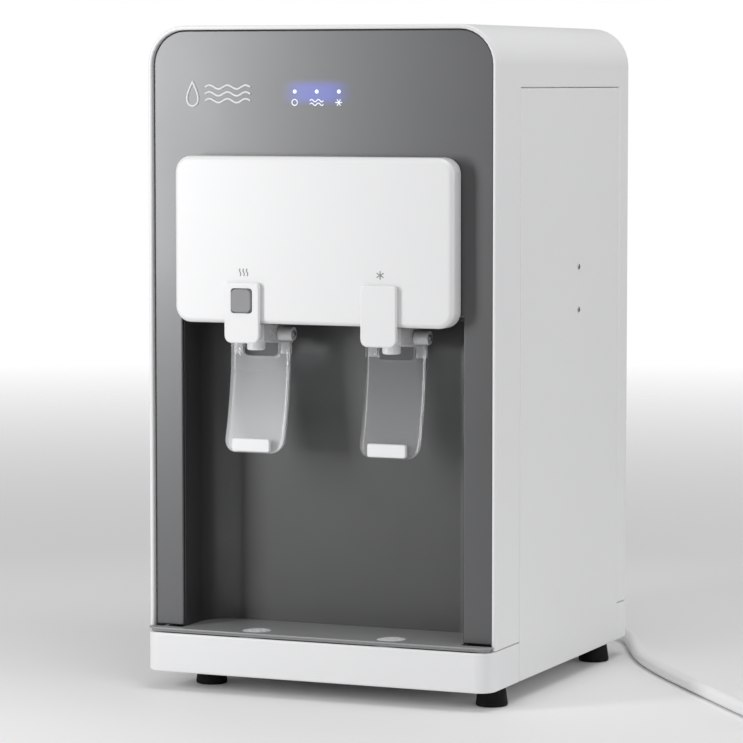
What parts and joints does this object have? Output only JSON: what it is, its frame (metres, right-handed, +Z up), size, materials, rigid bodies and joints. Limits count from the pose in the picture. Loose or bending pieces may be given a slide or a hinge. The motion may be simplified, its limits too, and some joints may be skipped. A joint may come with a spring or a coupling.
{
  "type": "countertop water dispenser",
  "caption": "Countertop hot and cold water dispenser with two clear cup levers, a child lock button, a lift-out drip tray and a feed hose from a bottle",
  "frame": {"origin": "Middle of the footprint, on the surface the feet stand on", "axes": "+X to the user's right, -Y is the front, +Z up"},
  "size_m": [0.5342, 0.3595, 0.456],
  "materials": {
    "white_shell": "satin white",
    "panel_grey": "satin silver grey",
    "niche_dark": "dark grey satin",
    "tap_grey": "satin",
    "clear_acrylic": "clear",
    "rubber_black": "matt",
    "stainless": "brushed",
    "alloy": "natural",
    "foam": "bead foam",
    "black_plastic": "fine texture",
    "circuit_board": "solder mask",
    "hose_pe": "milky polyethylene",
    "button_grey": "satin",
    "switch_red": "gloss",
    "switch_green": "gloss",
    "display_tint": "tinted"
  },
  "bodies": {
    "housing": {"outer_cover": "white_shell", "side_panel_right": "white_shell", "side_panel_left": "white_shell", "back_panel": "white_shell", "base_tray": "white_shell", "foot_front_left": "rubber_black", "foot_front_right": "rubber_black", "foot_rear_left": "rubber_black", "foot_rear_right": "rubber_black", "front_panel": "panel_grey", "niche_liner": "niche_dark", "tap_box_cover": "white_shell", "hot_tap_cover": "white_shell", "hot_tap_body": "tap_grey", "hot_nozzle": "white_shell", "hot_hinge_pin": "stainless", "hot_valve_spring": "stainless", "cold_tap_cover": "white_shell", "cold_tap_body": "tap_grey", "cold_nozzle": "white_shell", "cold_hinge_pin": "stainless", "cold_valve_spring": "stainless", "display_window": "display_tint", "display_board": "circuit_board", "inner_frame": "stainless", "cold_tank": "stainless", "cold_tank_foam": "foam", "cooling_module": "alloy", "heat_sink": "alloy", "fan_frame": "black_plastic", "hot_tank": "stainless", "heater_band": "stainless", "feed_pump": "black_plastic", "control_board": "circuit_board", "feed_tube": "hose_pe", "hot_water_tube": "hose_pe", "cold_water_tube": "hose_pe", "power_inlet": "black_plastic", "inlet_fitting": "white_shell", "bottle_hose": "hose_pe", "hose_coil": "hose_pe", "hose_tail": "hose_pe", "suction_foot": "white_shell"},
    "hot_lever_set": {"hot_lever": "clear_acrylic", "hot_lever_pad": "white_shell", "hot_lever_yoke": "tap_grey"},
    "cold_lever_set": {"cold_lever": "clear_acrylic", "cold_lever_pad": "white_shell", "cold_lever_yoke": "tap_grey"},
    "hot_valve": {"hot_valve_stem": "white_shell"},
    "cold_valve": {"cold_valve_stem": "white_shell"},
    "child_lock": {"child_lock_button": "button_grey"},
    "drip_tray": {"drip_tank": "white_shell"},
    "lid": {"tray_lid": "panel_grey", "hot_drain_strainer": "white_shell", "cold_drain_strainer": "white_shell"},
    "hot_rocker": {"hot_switch": "switch_red"},
    "cold_rocker": {"cold_switch": "switch_green"},
    "fan": {"fan_rotor": "black_plastic"},
    "plug": {"drain_plug": "rubber_black"}
  },
  "joints": [
    {"name": "hot_lever_press", "type": "hinge", "parent": "housing", "child": "hot_lever_set", "pos_m": [-0.05, -0.112, 0.247], "axis": [1, 0, 0], "range_deg": [0, 12], "stiffness_Nm_per_rad": 0.6, "springref_deg": -5.73},
    {"name": "cold_lever_press", "type": "hinge", "parent": "housing", "child": "cold_lever_set", "pos_m": [0.05, -0.112, 0.247], "axis": [1, 0, 0], "range_deg": [0, 12], "stiffness_Nm_per_rad": 0.6, "springref_deg": -5.73},
    {"name": "hot_valve_lift", "type": "slide", "parent": "housing", "child": "hot_valve", "axis": [0, 0, 1], "range_m": [0, 0.00245], "deforming": ["hot_valve_spring"]},
    {"name": "cold_valve_lift", "type": "slide", "parent": "housing", "child": "cold_valve", "axis": [0, 0, 1], "range_m": [0, 0.00245], "deforming": ["cold_valve_spring"]},
    {"name": "child_lock_push", "type": "slide", "parent": "housing", "child": "child_lock", "axis": [0, 1, 0], "range_m": [0, 0.002], "stiffness_N_per_m": 400, "springref_m": -0.0015},
    {"name": "drip_tray_lift", "type": "slide", "parent": "housing", "child": "drip_tray", "axis": [0, 0, 1], "range_m": [0, 0.03]},
    {"name": "lid_lift", "type": "slide", "parent": "drip_tray", "child": "lid", "axis": [0, 0, 1], "range_m": [0, 0.04]},
    {"name": "hot_switch_rock", "type": "hinge", "parent": "housing", "child": "hot_rocker", "pos_m": [-0.092, 0.1345, 0.205], "axis": [1, 0, 0], "range_deg": [-16, 0]},
    {"name": "cold_switch_rock", "type": "hinge", "parent": "housing", "child": "cold_rocker", "pos_m": [-0.058, 0.1345, 0.205], "axis": [1, 0, 0], "range_deg": [-16, 0]},
    {"name": "fan_spin", "type": "hinge", "parent": "housing", "child": "fan", "pos_m": [0.052, 0.0995, 0.275], "axis": [0, 1, 0], "continuous": true},
    {"name": "drain_plug_pull", "type": "slide", "parent": "housing", "child": "plug", "axis": [0, 1, 0], "range_m": [0, 0.015]}
  ],
  "couplings": [
    {"joint": "hot_valve_lift", "follows": "hot_lever_press", "m_per_rad": 0.0115},
    {"joint": "cold_valve_lift", "follows": "cold_lever_press", "m_per_rad": 0.0115}
  ]
}
